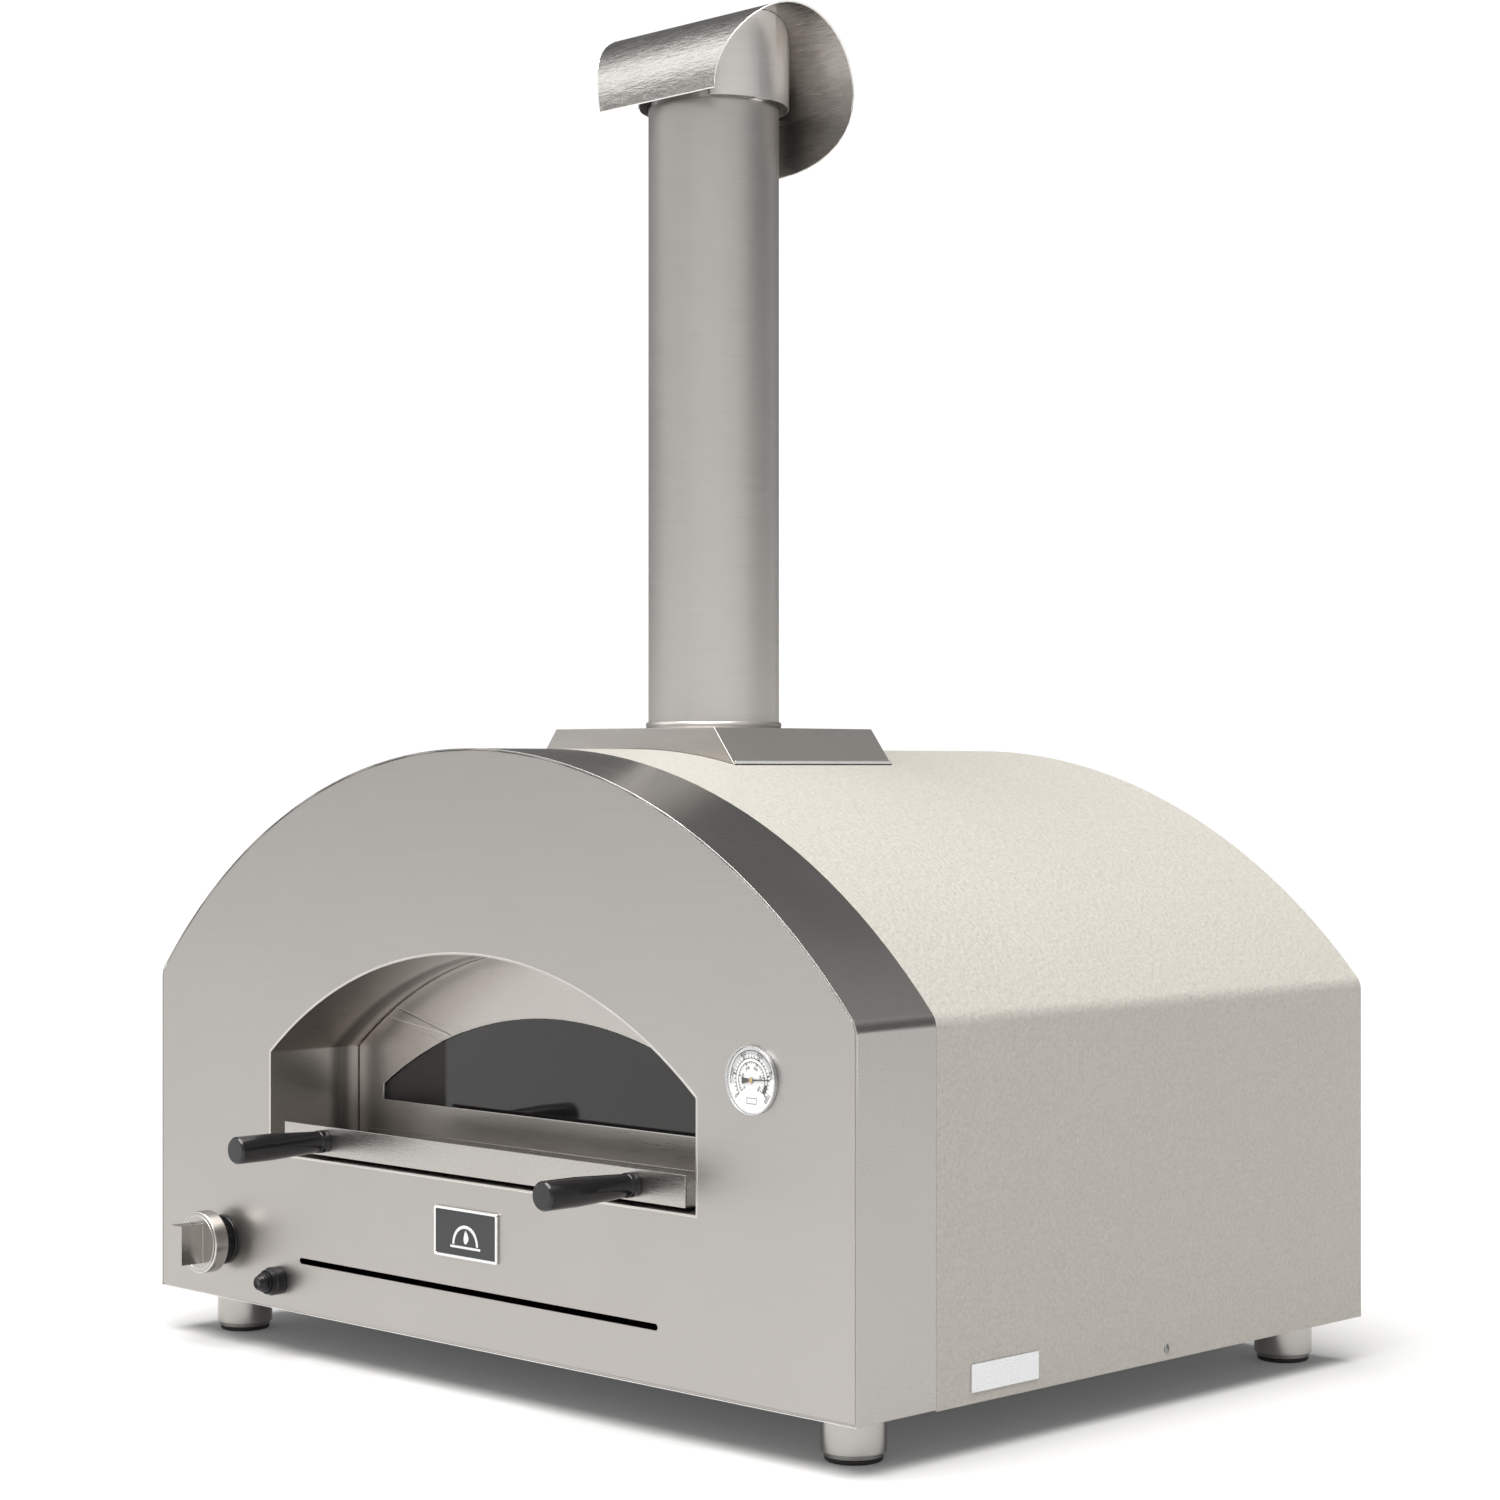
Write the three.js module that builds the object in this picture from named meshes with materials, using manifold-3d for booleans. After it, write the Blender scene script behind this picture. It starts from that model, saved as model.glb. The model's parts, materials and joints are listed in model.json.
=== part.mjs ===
// Countertop gas pizza oven with a flue: arched case on four levelling feet, insulated steel dome over a
// tiled hearth, lift-out glazed door, gas train, thermometer and a flue pipe under a turning rain cap.
// Millimetres, +Z up, front face towards -Y, origin on the floor under the middle of the whole oven.

import * as THREE from 'three';
import { mergeVertices } from 'three/addons/utils/BufferGeometryUtils.js';
import Module from 'manifold-3d';

const wasm = await Module();
wasm.setup();

// ---------------------------------------------------------------- driving dimensions

const gap = 0.35; // clearance between neighbouring pieces
const sheet = 2; // thickness of the case and dome sheets

// Inside the oven group y is the distance behind the front face, and z the height above the case's underside.
const footHeight = 52;
const gripReach = 119; // how far the door grips stand in front of the front face
const inletReach = 24.5; // how far the gas inlet stands behind the case

const caseDepth = 842;
const caseArch = { half: 570, top: 643, radius: 746, bottom: 0, corner: 22, steps: 48 };
const bandDepth = 113;
const bodyDrop = 1.5; // the painted shell reaches this much below the band

const mouth = { half: 352, top: 421, radius: 551, bottom: 178, corner: 3, steps: 36 };
const linerDepth = 98;
const doorFace = 128; // front of the door panel
const domeFace = 150; // front of the dome's front wall

const dome = { half: 455, top: 540, radius: 700, bottom: 120.4, corner: 30, steps: 20 };
const domeBack = 790;
const blanket = 60;
const trayTop = 120;

const flueY = 370.7;
const flueRadius = 75.6;
const flueSheet = 1.5;
const baseTop = 666.5;
const pipeTop = 1383;
const capAxis = 1393;

const knobPlace = { x: -444.5, z: 68 };
const igniterPlace = { x: -336.5, z: 32.5 };
const gaugePlace = { x: 432.5, z: 318 };
const burnerPlace = { x: -417, z: 170 };
const electrodePlace = { x: -438, z: 192 };
const thermocouplePlace = { x: -438, z: 150 };

// ---------------------------------------------------------------- materials

function finish(color, roughness, metalness) {
  return new THREE.MeshStandardMaterial({ color, roughness, metalness });
}

const brushedSteel = finish(0xc6c1bb, 0.38, 1);
const darkSteel = finish(0x8f8b86, 0.45, 1);
const creamPaint = finish(0xdcd7cb, 0.6, 0);
const zincSteel = finish(0xa9abab, 0.5, 1);
const blackPlastic = finish(0x1c1c1d, 0.35, 0);
const blackRubber = finish(0x151515, 0.85, 0);
const darkGlass = finish(0x2b2c2c, 0.08, 0);
const clearGlass = finish(0xf2f5f5, 0.05, 0);
const dialWhite = finish(0xf4f4f2, 0.5, 0);
const brass = finish(0xb9975a, 0.4, 1);
const fireclay = finish(0xcbb595, 0.95, 0);
const fibreWhite = finish(0xe9e6de, 1, 0);
const aluminium = finish(0xb7b8ba, 0.35, 1);

// ---------------------------------------------------------------- solids

// Merges shared vertices, drops the slivers that this leaves, and turns the faces outwards.
function clean(geometry) {
  const bare = geometry.clone();
  bare.deleteAttribute('normal');
  bare.deleteAttribute('uv');
  const merged = mergeVertices(bare, 1e-4);
  const place = merged.attributes.position;
  const corners = [0, 1, 2].map(() => new THREE.Vector3());
  const triangles = [];
  let volume = 0;
  for (let i = 0; i < merged.index.count; i += 3) {
    const [a, b, c] = [0, 1, 2].map((k) => merged.index.getX(i + k));
    if (a === b || b === c || c === a) {
      continue;
    }
    triangles.push([a, b, c]);
    corners.forEach((corner, k) => corner.fromBufferAttribute(place, [a, b, c][k]));
    volume += corners[0].dot(corners[1].clone().cross(corners[2]));
  }
  const order = volume > 0 ? triangles : triangles.map(([a, b, c]) => [a, c, b]);
  merged.setIndex(order.flat());
  return merged;
}

function toManifold(geometry) {
  const { attributes, index } = clean(geometry);
  const vertProperties = new Float32Array(attributes.position.array);
  const triVerts = new Uint32Array(index.array);
  return new wasm.Manifold(new wasm.Mesh({ numProp: 3, vertProperties, triVerts }));
}

function fromManifold(solid) {
  const { vertProperties, triVerts } = solid.getMesh();
  const geometry = new THREE.BufferGeometry();
  geometry.setAttribute('position', new THREE.BufferAttribute(new Float32Array(vertProperties), 3));
  geometry.setIndex(new THREE.BufferAttribute(new Uint32Array(triVerts), 1));
  return geometry;
}

function cut(base, ...tools) {
  const rest = tools.reduce((solid, tool) => solid.subtract(toManifold(tool)), toManifold(base));
  return fromManifold(rest);
}

function join(base, ...others) {
  const whole = others.reduce((solid, other) => solid.add(toManifold(other)), toManifold(base));
  return fromManifold(whole);
}

function common(base, other) {
  return fromManifold(toManifold(base).intersect(toManifold(other)));
}

// A box from its lowest and highest corners.
function block([x0, y0, z0], [x1, y1, z1]) {
  const box = new THREE.BoxGeometry(x1 - x0, y1 - y0, z1 - z0);
  return box.translate((x0 + x1) / 2, (y0 + y1) / 2, (z0 + z1) / 2);
}

// A round bar along an axis through (at[0], at[1]) in the plane across it, from one end to the other.
function bar(axis, radius, at, from, to, sides = 24) {
  const rod = new THREE.CylinderGeometry(radius, radius, to - from, sides);
  const middle = (from + to) / 2;
  if (axis === 'x') {
    return rod.rotateZ(Math.PI / 2).translate(middle, at[0], at[1]);
  }
  if (axis === 'y') {
    return rod.translate(at[0], middle, at[1]);
  }
  return rod.rotateX(Math.PI / 2).translate(at[0], at[1], middle);
}

function ringPoints(points) {
  return [...points, points[0]].map(([radius, along]) => new THREE.Vector2(radius, along));
}

// A turned piece about Y, from a profile of [radius, y] that starts and ends on the axis.
function turned(points, sides = 24) {
  return clean(new THREE.LatheGeometry(points.map(([radius, y]) => new THREE.Vector2(radius, y)), sides));
}

// A turned ring about Y, from a profile of [radius, y] that closes on itself.
function turnedRing(points, sides = 24) {
  return clean(new THREE.LatheGeometry(ringPoints(points), sides));
}

// Stands a piece turned about Y upright, about Z.
function upright(geometry) {
  return geometry.rotateX(Math.PI / 2);
}

// A flat piece cut to an outline in x and z, from one y to another.
function plate(shape, near, far, curveSegments = 12) {
  const flat = new THREE.ExtrudeGeometry(shape, { depth: far - near, bevelEnabled: false, curveSegments });
  return flat.rotateX(Math.PI / 2).translate(0, far, 0);
}

// ---------------------------------------------------------------- arched outlines

const cornerSteps = 4;

// Points from the right foot of an arched outline, over the arch, to its left foot. A positive growth
// moves the sides and the arch outwards; the foot stays at the given height.
function archLine(arch, growth, foot) {
  const side = arch.half + growth;
  const radius = arch.radius + growth;
  const corner = Math.max(arch.corner + growth, 0.5);
  const centre = arch.top - arch.radius;
  const cornerX = side - corner;
  const rise = Math.sqrt((radius - corner) ** 2 - cornerX ** 2);
  const meet = Math.atan2(rise, cornerX);
  const right = [];
  for (let i = 0; i < cornerSteps; i += 1) {
    const angle = (meet * i) / cornerSteps;
    right.push([cornerX + corner * Math.cos(angle), centre + rise + corner * Math.sin(angle)]);
  }
  for (let i = 0; i <= arch.steps / 2; i += 1) {
    const angle = meet + ((Math.PI / 2 - meet) * 2 * i) / arch.steps;
    right.push([radius * Math.cos(angle), centre + radius * Math.sin(angle)]);
  }
  const left = right.slice(0, -1).map(([x, z]) => [-x, z]).reverse();
  const line = [[side, foot], ...right, ...left, [-side, foot]];
  return line.map(([x, z]) => new THREE.Vector2(x, z));
}

function archShape(arch, growth = 0) {
  return new THREE.Shape(archLine(arch, growth, arch.bottom - growth));
}

function archHole(arch, growth = 0) {
  return new THREE.Path(archLine(arch, growth, arch.bottom - growth));
}

// A sheet that runs up one side, over the arch and down the other, open below.
function archSheet(arch, outer, inner, foot = arch.bottom) {
  return new THREE.Shape([...archLine(arch, outer, foot), ...archLine(arch, inner, foot).reverse()]);
}

// A sheet that goes all the way round the outline.
function archRing(arch, outer, inner) {
  const ring = archShape(arch, outer);
  ring.holes.push(archHole(arch, inner));
  return ring;
}

function roundHole({ x, z }, radius) {
  return new THREE.Path().absarc(x, z, radius, 0, Math.PI * 2);
}

// ---------------------------------------------------------------- the scene

const oven = new THREE.Group();
oven.position.set(0, (gripReach - caseDepth - inletReach) / 2, footHeight);

function addPiece(name, geometry, material, parent = oven) {
  const mesh = new THREE.Mesh(geometry, material);
  mesh.name = name;
  parent.add(mesh);
}

// ---------------------------------------------------------------- case

const stemHole = 14;
const igniterHole = 11.4;
const gaugeHole = 25;
const slot = { half: 297, height: 6.8, z: 59.6 };

// A slot with round ends, level along x.
function slotHole(x, z, half, height) {
  const end = height / 2;
  const straight = half - end;
  const path = new THREE.Path();
  path.absarc(x + straight, z, end, -Math.PI / 2, Math.PI / 2);
  path.absarc(x - straight, z, end, Math.PI / 2, (3 * Math.PI) / 2);
  return path;
}

function frontPanel() {
  const face = archShape(caseArch, -sheet - gap);
  face.holes.push(archHole(mouth, sheet + gap));
  face.holes.push(slotHole(0, slot.z, slot.half, slot.height));
  face.holes.push(roundHole(knobPlace, stemHole));
  face.holes.push(roundHole(igniterPlace, igniterHole));
  face.holes.push(roundHole(gaugePlace, gaugeHole));
  return plate(face, 0, sheet, 10);
}

const flueHole = flueRadius + 2;

function bodyShell() {
  const skin = plate(archSheet(caseArch, 0, -sheet, -bodyDrop), bandDepth + gap, caseDepth);
  return cut(skin, bar('z', flueHole, [0, flueY], caseArch.top - 60, caseArch.top + 20, 28));
}

const rearFace = caseDepth - 4;
const vent = { half: 60, height: 8, pitch: 24, rows: 3, columns: [-101, 103], z: 70 };

function rearPanel() {
  const back = archShape(caseArch, -sheet - gap);
  back.holes.push(roundHole(knobPlace, 11));
  for (const x of vent.columns) {
    for (let row = 0; row < vent.rows; row += 1) {
      back.holes.push(slotHole(x, vent.z + row * vent.pitch, vent.half, vent.height));
    }
  }
  return plate(back, rearFace, rearFace + sheet, 6);
}

const footPlaces = {
  front_left: [-500, 71],
  front_right: [500, 71],
  rear_left: [-500, 789],
  rear_right: [500, 789],
};
const stud = { radius: 5, hole: 5.8 };

function basePan() {
  const [side, front, back, low, high] = [565, 5, 833, 2, 20];
  const outside = block([-side, front, low], [side, back, high]);
  const inside = block([-side + sheet, front + sheet, low + sheet], [side - sheet, back - sheet, high + 1]);
  const holes = Object.values(footPlaces).map((at) => bar('z', stud.hole, at, 0, low + sheet + 1, 12));
  return cut(outside, inside, ...holes);
}

addPiece('front_panel', frontPanel(), brushedSteel);
addPiece('hood_band', plate(archSheet(caseArch, 0, -sheet), 0, bandDepth), brushedSteel);
addPiece('body_shell', bodyShell(), creamPaint);
addPiece('rear_panel', rearPanel(), creamPaint);
addPiece('base_pan', basePan(), zincSteel);

// ---------------------------------------------------------------- levelling feet

const padHeight = 4.65;
const insert = { radius: 29.75, low: 5, high: 24, studTop: 64 };
const sleeve = { outer: 32.5, inner: 30.6, low: 9.5, top: 53.6, cover: 3 };

function addFoot(name, [x, y]) {
  const foot = new THREE.Group();
  foot.position.set(x, y, -footHeight);
  oven.add(foot);
  const pad = turned([[0, 0], [27, 0], [29, 1.6], [29, padHeight], [0, padHeight]]);
  const stem = turned([
    [0, insert.low],
    [insert.radius, insert.low],
    [insert.radius, insert.high],
    [stud.radius, insert.high],
    [stud.radius, insert.studTop],
    [0, insert.studTop],
  ]);
  const cup = turnedRing([
    [sleeve.inner, sleeve.low],
    [sleeve.outer, sleeve.low],
    [sleeve.outer, sleeve.top],
    [stud.hole, sleeve.top],
    [stud.hole, sleeve.top - sleeve.cover],
    [sleeve.inner, sleeve.top - sleeve.cover],
  ]);
  addPiece(`foot_sleeve_${name}`, upright(cup), brushedSteel, foot);
  addPiece(`foot_insert_${name}`, upright(stem), brushedSteel, foot);
  addPiece(`foot_pad_${name}`, upright(pad), blackRubber, foot);
}

for (const [name, at] of Object.entries(footPlaces)) {
  addFoot(name, at);
}

// ---------------------------------------------------------------- mouth and dome

const doorStop = { inset: 14, near: 130.8 };

function domeFront() {
  const wall = archShape(dome);
  wall.holes.push(archHole(mouth));
  wall.holes.push(roundHole(burnerPlace, 16));
  wall.holes.push(roundHole(electrodePlace, 5));
  wall.holes.push(roundHole(thermocouplePlace, 3.5));
  wall.holes.push(roundHole(gaugePlace, 4));
  const throat = plate(archRing(mouth, sheet, 0), linerDepth + gap, domeFace + 1);
  const stop = archSheet(mouth, 1, -doorStop.inset, mouth.bottom - 1);
  return join(
    plate(wall, domeFace, domeFace + sheet, 8),
    throat,
    plate(stop, doorStop.near, doorStop.near + sheet),
  );
}

const ductHole = 73;

function overDome(outer, inner) {
  const near = domeFace + sheet + gap;
  const cover = plate(archSheet(dome, outer, inner), near, domeBack);
  return cut(cover, bar('z', ductHole, [0, flueY], dome.top - 40, dome.top + blanket + 20, 24));
}

addPiece('mouth_liner', plate(archRing(mouth, sheet, 0), 0, linerDepth), darkSteel);
addPiece('dome_front', domeFront(), darkSteel);
addPiece('inner_dome', overDome(0, -sheet), darkSteel);
addPiece('dome_rear', plate(archShape(dome), domeBack + gap, domeBack + gap + sheet), darkSteel);
addPiece('dome_blanket', overDome(blanket + gap, gap), fibreWhite);

// ---------------------------------------------------------------- hearth

const tile = { width: 400, depth: 300, joint: 1, low: 145.8, high: 176, left: -375, front: 153 };

function floorTray() {
  const [side, front, back, low] = [492, 100, 794, 100];
  const leg = { x: 380, half: 18, places: [160, 740], foot: 4.4 };
  const outside = block([-side, front, low], [side, back, trayTop]);
  const inside = block(
    [-side + sheet, front + sheet, low - 1],
    [side - sheet, back - sheet, trayTop - sheet],
  );
  const legs = [];
  for (const x of [-leg.x, leg.x]) {
    for (const y of leg.places) {
      const lowest = [x - leg.half, y - leg.half, leg.foot];
      legs.push(block(lowest, [x + leg.half, y + leg.half, trayTop - 1]));
    }
  }
  return join(cut(outside, inside), ...legs);
}

function addTile(name, column, row) {
  const x = tile.left + column * (tile.width + tile.joint);
  const y = tile.front + row * (tile.depth + tile.joint);
  const slab = block([x, y, tile.low], [x + tile.width, y + tile.depth, tile.high]);
  addPiece(`hearth_tile_${name}`, slab, fireclay);
}

addPiece('floor_tray', floorTray(), zincSteel);
addPiece(
  'floor_board',
  block(
    [tile.left, tile.front, trayTop + gap],
    [tile.left + 2 * tile.width + tile.joint, tile.front + 2 * tile.depth + tile.joint, tile.low - gap],
  ),
  fibreWhite,
);
addTile('front_left', 0, 0);
addTile('front_right', 1, 0);
addTile('rear_left', 0, 1);
addTile('rear_right', 1, 1);

// ---------------------------------------------------------------- flue

const base = { half: 130.5, slope: 31 / 40, near: 243, far: 498.5 };
const duct = { outer: 71.5, inner: 70, low: 530, high: 700 };

// A trapezium with its top edge at the given height and its sloping sides run down past the case.
function baseProfile(inset, top) {
  const drop = 80;
  const half = base.half - inset;
  const foot = half + drop * base.slope;
  const corners = [[-foot, top - drop], [foot, top - drop], [half, top], [-half, top]];
  return new THREE.Shape(corners.map(([x, z]) => new THREE.Vector2(x, z)));
}

function chimneyBase() {
  const outside = plate(baseProfile(0, baseTop), base.near, base.far);
  const inside = plate(baseProfile(sheet, baseTop - sheet), base.near + sheet, base.far - sheet);
  const roof = plate(archShape(caseArch, gap), base.near - 10, base.far + 10);
  return cut(outside, inside, roof, bar('z', ductHole, [0, flueY], baseTop - 10, baseTop + 10, 24));
}

function tube(outer, inner, low, high, sides) {
  return upright(turnedRing([[inner, low], [outer, low], [outer, high], [inner, high]], sides));
}

const flue = new THREE.Group();
flue.position.set(0, flueY, 0);
oven.add(flue);

const bead = { inner: flueRadius + gap, outer: 79, low: baseTop + gap, high: baseTop + 8 };

function flueBead() {
  const middle = (bead.low + bead.high) / 2;
  return upright(turnedRing([
    [bead.inner, bead.low],
    [bead.outer - 1.5, bead.low],
    [bead.outer, middle],
    [bead.outer - 1.5, bead.high],
    [bead.inner, bead.high],
  ], 36));
}

addPiece('chimney_base', chimneyBase(), brushedSteel);
addPiece('flue_duct', tube(duct.outer, duct.inner, duct.low, duct.high, 20), darkSteel, flue);
addPiece('flue_ring', flueBead(), brushedSteel, flue);
addPiece(
  'flue_pipe',
  tube(flueRadius, flueRadius - flueSheet, baseTop + gap, pipeTop, 48),
  brushedSteel,
  flue,
);

// ---------------------------------------------------------------- rain cap

const hood = {
  radius: 92.7,
  frontHalf: 94.5, // half width at the front lip
  backHalf: 135.5, // half width of the back flap
  lipAngle: (-7 * Math.PI) / 180,
  drop: 78.7, // how far the back flap hangs below the roll's axis
  rollSteps: 28,
  flapSteps: 9,
  fullness: 2.3, // 2 would be an ellipse
};

// Half width of the hood's sheet at an angle round the roll: 0 is the front, 90 degrees the top.
function hoodHalf(angle) {
  const part = (angle - hood.lipAngle) / (Math.PI - hood.lipAngle);
  const waist = ((1 + Math.cos(part * Math.PI)) / 2) ** 5;
  return hood.backHalf - (hood.backHalf - hood.frontHalf) * waist;
}

// Rows across the sheet, each with its half width, its place in y and z, and its outward direction.
function hoodRows() {
  const rows = [];
  for (let i = 0; i <= hood.rollSteps; i += 1) {
    const angle = hood.lipAngle + ((Math.PI - hood.lipAngle) * i) / hood.rollSteps;
    const out = [-Math.cos(angle), Math.sin(angle)];
    rows.push({ half: hoodHalf(angle), y: hood.radius * out[0], z: hood.radius * out[1], out });
  }
  for (let i = 1; i <= hood.flapSteps; i += 1) {
    const angle = (Math.PI / 2) * (i / (hood.flapSteps + 0.6));
    const half = hood.backHalf * Math.cos(angle) ** (2 / hood.fullness);
    const z = -hood.drop * Math.sin(angle) ** (2 / hood.fullness);
    rows.push({ half, y: hood.radius, z, out: [1, 0] });
  }
  return rows;
}

// A closed sheet from rows across it: outer left, outer right, inner right and inner left on each row.
function hoodSheet() {
  const rows = hoodRows();
  const points = [];
  for (const { half, y, z, out } of rows) {
    for (const depth of [0, flueSheet]) {
      const at = [y - out[0] * depth, z - out[1] * depth];
      const ends = depth === 0 ? [-half, half] : [half, -half];
      ends.forEach((x) => points.push(x, ...at));
    }
  }
  const faces = [];
  const addQuad = (a, b, c, d) => faces.push(a, b, c, a, c, d);
  for (let row = 0; row + 1 < rows.length; row += 1) {
    for (let k = 0; k < 4; k += 1) {
      const next = (k + 1) % 4;
      addQuad(4 * row + k, 4 * row + next, 4 * (row + 1) + next, 4 * (row + 1) + k);
    }
  }
  const last = 4 * (rows.length - 1);
  addQuad(3, 2, 1, 0);
  addQuad(last, last + 1, last + 2, last + 3);
  const geometry = new THREE.BufferGeometry();
  geometry.setAttribute('position', new THREE.Float32BufferAttribute(points, 3));
  geometry.setIndex(faces);
  return clean(geometry);
}

const collar = { outer: 87.5, inner: 86, low: -9.3, openFront: -64 };
const spigot = { outer: 73.3, inner: 71.8, low: -50, high: -2 };

// An upright band cut to the roll above it and open to the front, with a spigot that drops into the pipe
// and straps between the two.
function capCollar() {
  const under = hood.radius - flueSheet - gap;
  const band = common(
    tube(collar.outer, collar.inner, collar.low, under, 36),
    bar('x', under, [0, 0], -150, 150, 40),
  );
  const open = cut(band, block([-100, -100, -20], [100, collar.openFront, 100]));
  const strap = { half: 9, low: -8, high: -3 };
  const reach = (collar.outer + collar.inner) / 2;
  const start = (spigot.outer + spigot.inner) / 2;
  return join(
    open,
    tube(spigot.outer, spigot.inner, spigot.low, spigot.high, 24),
    block([start, -strap.half, strap.low], [reach, strap.half, strap.high]),
    block([-reach, -strap.half, strap.low], [-start, strap.half, strap.high]),
    block([-strap.half, start, strap.low], [strap.half, reach, strap.high]),
  );
}

const cap = new THREE.Group();
cap.position.set(0, 0, capAxis);
flue.add(cap);
addPiece('cap_hood', hoodSheet(), brushedSteel, cap);
addPiece('cap_collar', capCollar(), brushedSteel, cap);

// ---------------------------------------------------------------- gas train

const valve = { half: 20, low: 50, high: 86, near: 12, far: 56, boss: 10, bore: 5.4, boreEnd: 40 };
const pipeSize = { outer: 7, inner: 5.5 };

function gasValve() {
  const { x, z } = knobPlace;
  const body = block([x - valve.half, valve.near, valve.low], [x + valve.half, valve.far, valve.high]);
  const boss = bar('y', valve.boss, [x, z], sheet + gap, valve.near + 1);
  return cut(join(body, boss), bar('y', valve.bore, [x, z], 0, valve.boreEnd));
}

function gasManifold() {
  const { x, z } = burnerPlace;
  const from = new THREE.Vector3(knobPlace.x, 34, valve.high + gap);
  const to = new THREE.Vector3(x, 118, z);
  const bend = 60;
  const extrudePath = new THREE.CubicBezierCurve3(
    from,
    new THREE.Vector3(from.x, from.y, z - 10),
    new THREE.Vector3(x, to.y - bend, z),
    to,
  );
  const section = new THREE.Shape().absarc(0, 0, 6, 0, Math.PI * 2);
  section.holes.push(roundHole({ x: 0, z: 0 }, 4.5));
  return clean(new THREE.ExtrudeGeometry(section, { extrudePath, steps: 9, curveSegments: 4 }));
}

function alongY(geometry, { x, z }) {
  return geometry.translate(x, 0, z);
}

function burnerTube() {
  const [outer, inner, near, far] = [15, 13, 106, 600];
  const profile = [[0, far - sheet], [inner, far - sheet], [inner, near], [outer, near], [outer, far], [0, far]];
  return alongY(turned(profile), burnerPlace);
}

function burnerShield() {
  const [x, top, lean] = [-390, 205, 16];
  const low = trayTop + gap;
  const corners = [
    [x, low],
    [x + sheet, low],
    [x + sheet, top],
    [x + sheet - lean, top + lean],
    [x - lean, top + lean],
    [x, top],
  ];
  return plate(new THREE.Shape(corners.map(([u, v]) => new THREE.Vector2(u, v))), 165, 650);
}

const supplyEnd = 821;

function supplyPipe() {
  const { outer, inner } = pipeSize;
  const near = valve.far + gap;
  return alongY(turnedRing([[inner, near], [outer, near], [outer, supplyEnd], [inner, supplyEnd]], 12), knobPlace);
}

function gasInlet() {
  const nut = { radius: 15, near: rearFace + sheet + gap, far: rearFace + sheet + 9 };
  const [thread, near, far] = [10.3, supplyEnd + gap, caseDepth + inletReach];
  const profile = [
    [pipeSize.inner, near],
    [thread, near],
    [thread, nut.near],
    [nut.radius, nut.near],
    [nut.radius, nut.far],
    [thread, nut.far],
    [thread, far],
    [pipeSize.inner, far],
  ];
  return alongY(turnedRing(profile, 16), knobPlace);
}

function sparkElectrode() {
  const profile = [[0, 100], [4, 100], [4, 205], [1.2, 208], [1.2, 232], [0, 232]];
  return alongY(turned(profile, 12), electrodePlace);
}

function thermocouple() {
  return alongY(turned([[0, 96], [2.5, 96], [2.5, 236], [0, 238]], 12), thermocouplePlace);
}

addPiece('gas_valve', gasValve(), brass);
addPiece('gas_manifold', gasManifold(), brass);
addPiece('burner_tube', burnerTube(), darkSteel);
addPiece('burner_shield', burnerShield(), darkSteel);
addPiece('supply_pipe', supplyPipe(), zincSteel);
addPiece('gas_inlet', gasInlet(), brass);
addPiece('spark_electrode', sparkElectrode(), fibreWhite);
addPiece('thermocouple', thermocouple(), brass);

// ---------------------------------------------------------------- knob and igniter

const knob = { radius: 36, near: -36, far: -18, bore: 5.35, boreEnd: -50 };
const grip = { halfWidth: 10, halfHeight: 23, near: -66 };

function controlKnob() {
  const disc = turned([
    [0, knob.near],
    [knob.radius - 1.2, knob.near],
    [knob.radius, knob.near + 1.2],
    [knob.radius, knob.far - 0.8],
    [knob.radius - 0.8, knob.far],
    [0, knob.far],
  ], 48);
  const handle = block(
    [-grip.halfWidth, grip.near, -grip.halfHeight],
    [grip.halfWidth, knob.near + 1, grip.halfHeight],
  );
  const whole = cut(join(disc, handle), bar('y', knob.bore, [0, 0], knob.boreEnd, 0));
  return alongY(whole, knobPlace);
}

function knobBezel() {
  const profile = [[13, -3.3], [28, -3.3], [29, -2.3], [29, -gap], [13, -gap]];
  return alongY(turnedRing(profile), knobPlace);
}

const stemRadius = 5;

addPiece('control_knob', controlKnob(), brushedSteel);
addPiece('valve_stem', bar('y', stemRadius, [knobPlace.x, knobPlace.z], knob.boreEnd + gap, 30), zincSteel);
addPiece('knob_bezel', knobBezel(), blackPlastic);

function igniterBody() {
  const profile = [
    [0, -6],
    [12.3, -6],
    [12.3, -18],
    [14.2, -18],
    [14.2, -13],
    [16.2, -12],
    [16.2, -gap],
    [11, -gap],
    [11, 30],
    [0, 30],
  ];
  return alongY(turned(profile), igniterPlace);
}

function igniterButton() {
  return alongY(turned([[0, -31], [7.5, -31], [11.8, -27], [11.8, -12], [0, -12]]), igniterPlace);
}

addPiece('igniter_body', igniterBody(), blackPlastic);
addPiece('igniter_button', igniterButton(), blackPlastic);

// ---------------------------------------------------------------- thermometer

const gauge = { radius: 34, recess: 33, can: 24, front: -5 };
const spindle = { radius: 1.5, hole: 2.2 };

function gaugeCase() {
  const profile = [
    [3.4, 14],
    [3.4, 12.5],
    [gauge.can - 1.5, 12.5],
    [gauge.can - 1.5, -1],
    [gauge.recess, -1],
    [gauge.recess, gauge.front],
    [gauge.radius, gauge.front],
    [gauge.radius, -gap],
    [gauge.can, -gap],
    [gauge.can, 14],
  ];
  return alongY(turnedRing(profile, 32), gaugePlace);
}

function gaugeDial() {
  const [near, far, rim] = [-2.2, -1.4, gauge.recess - gap];
  const profile = [[spindle.hole, near], [rim, near], [rim, far], [spindle.hole, far]];
  return alongY(turnedRing(profile, 32), gaugePlace);
}

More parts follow.
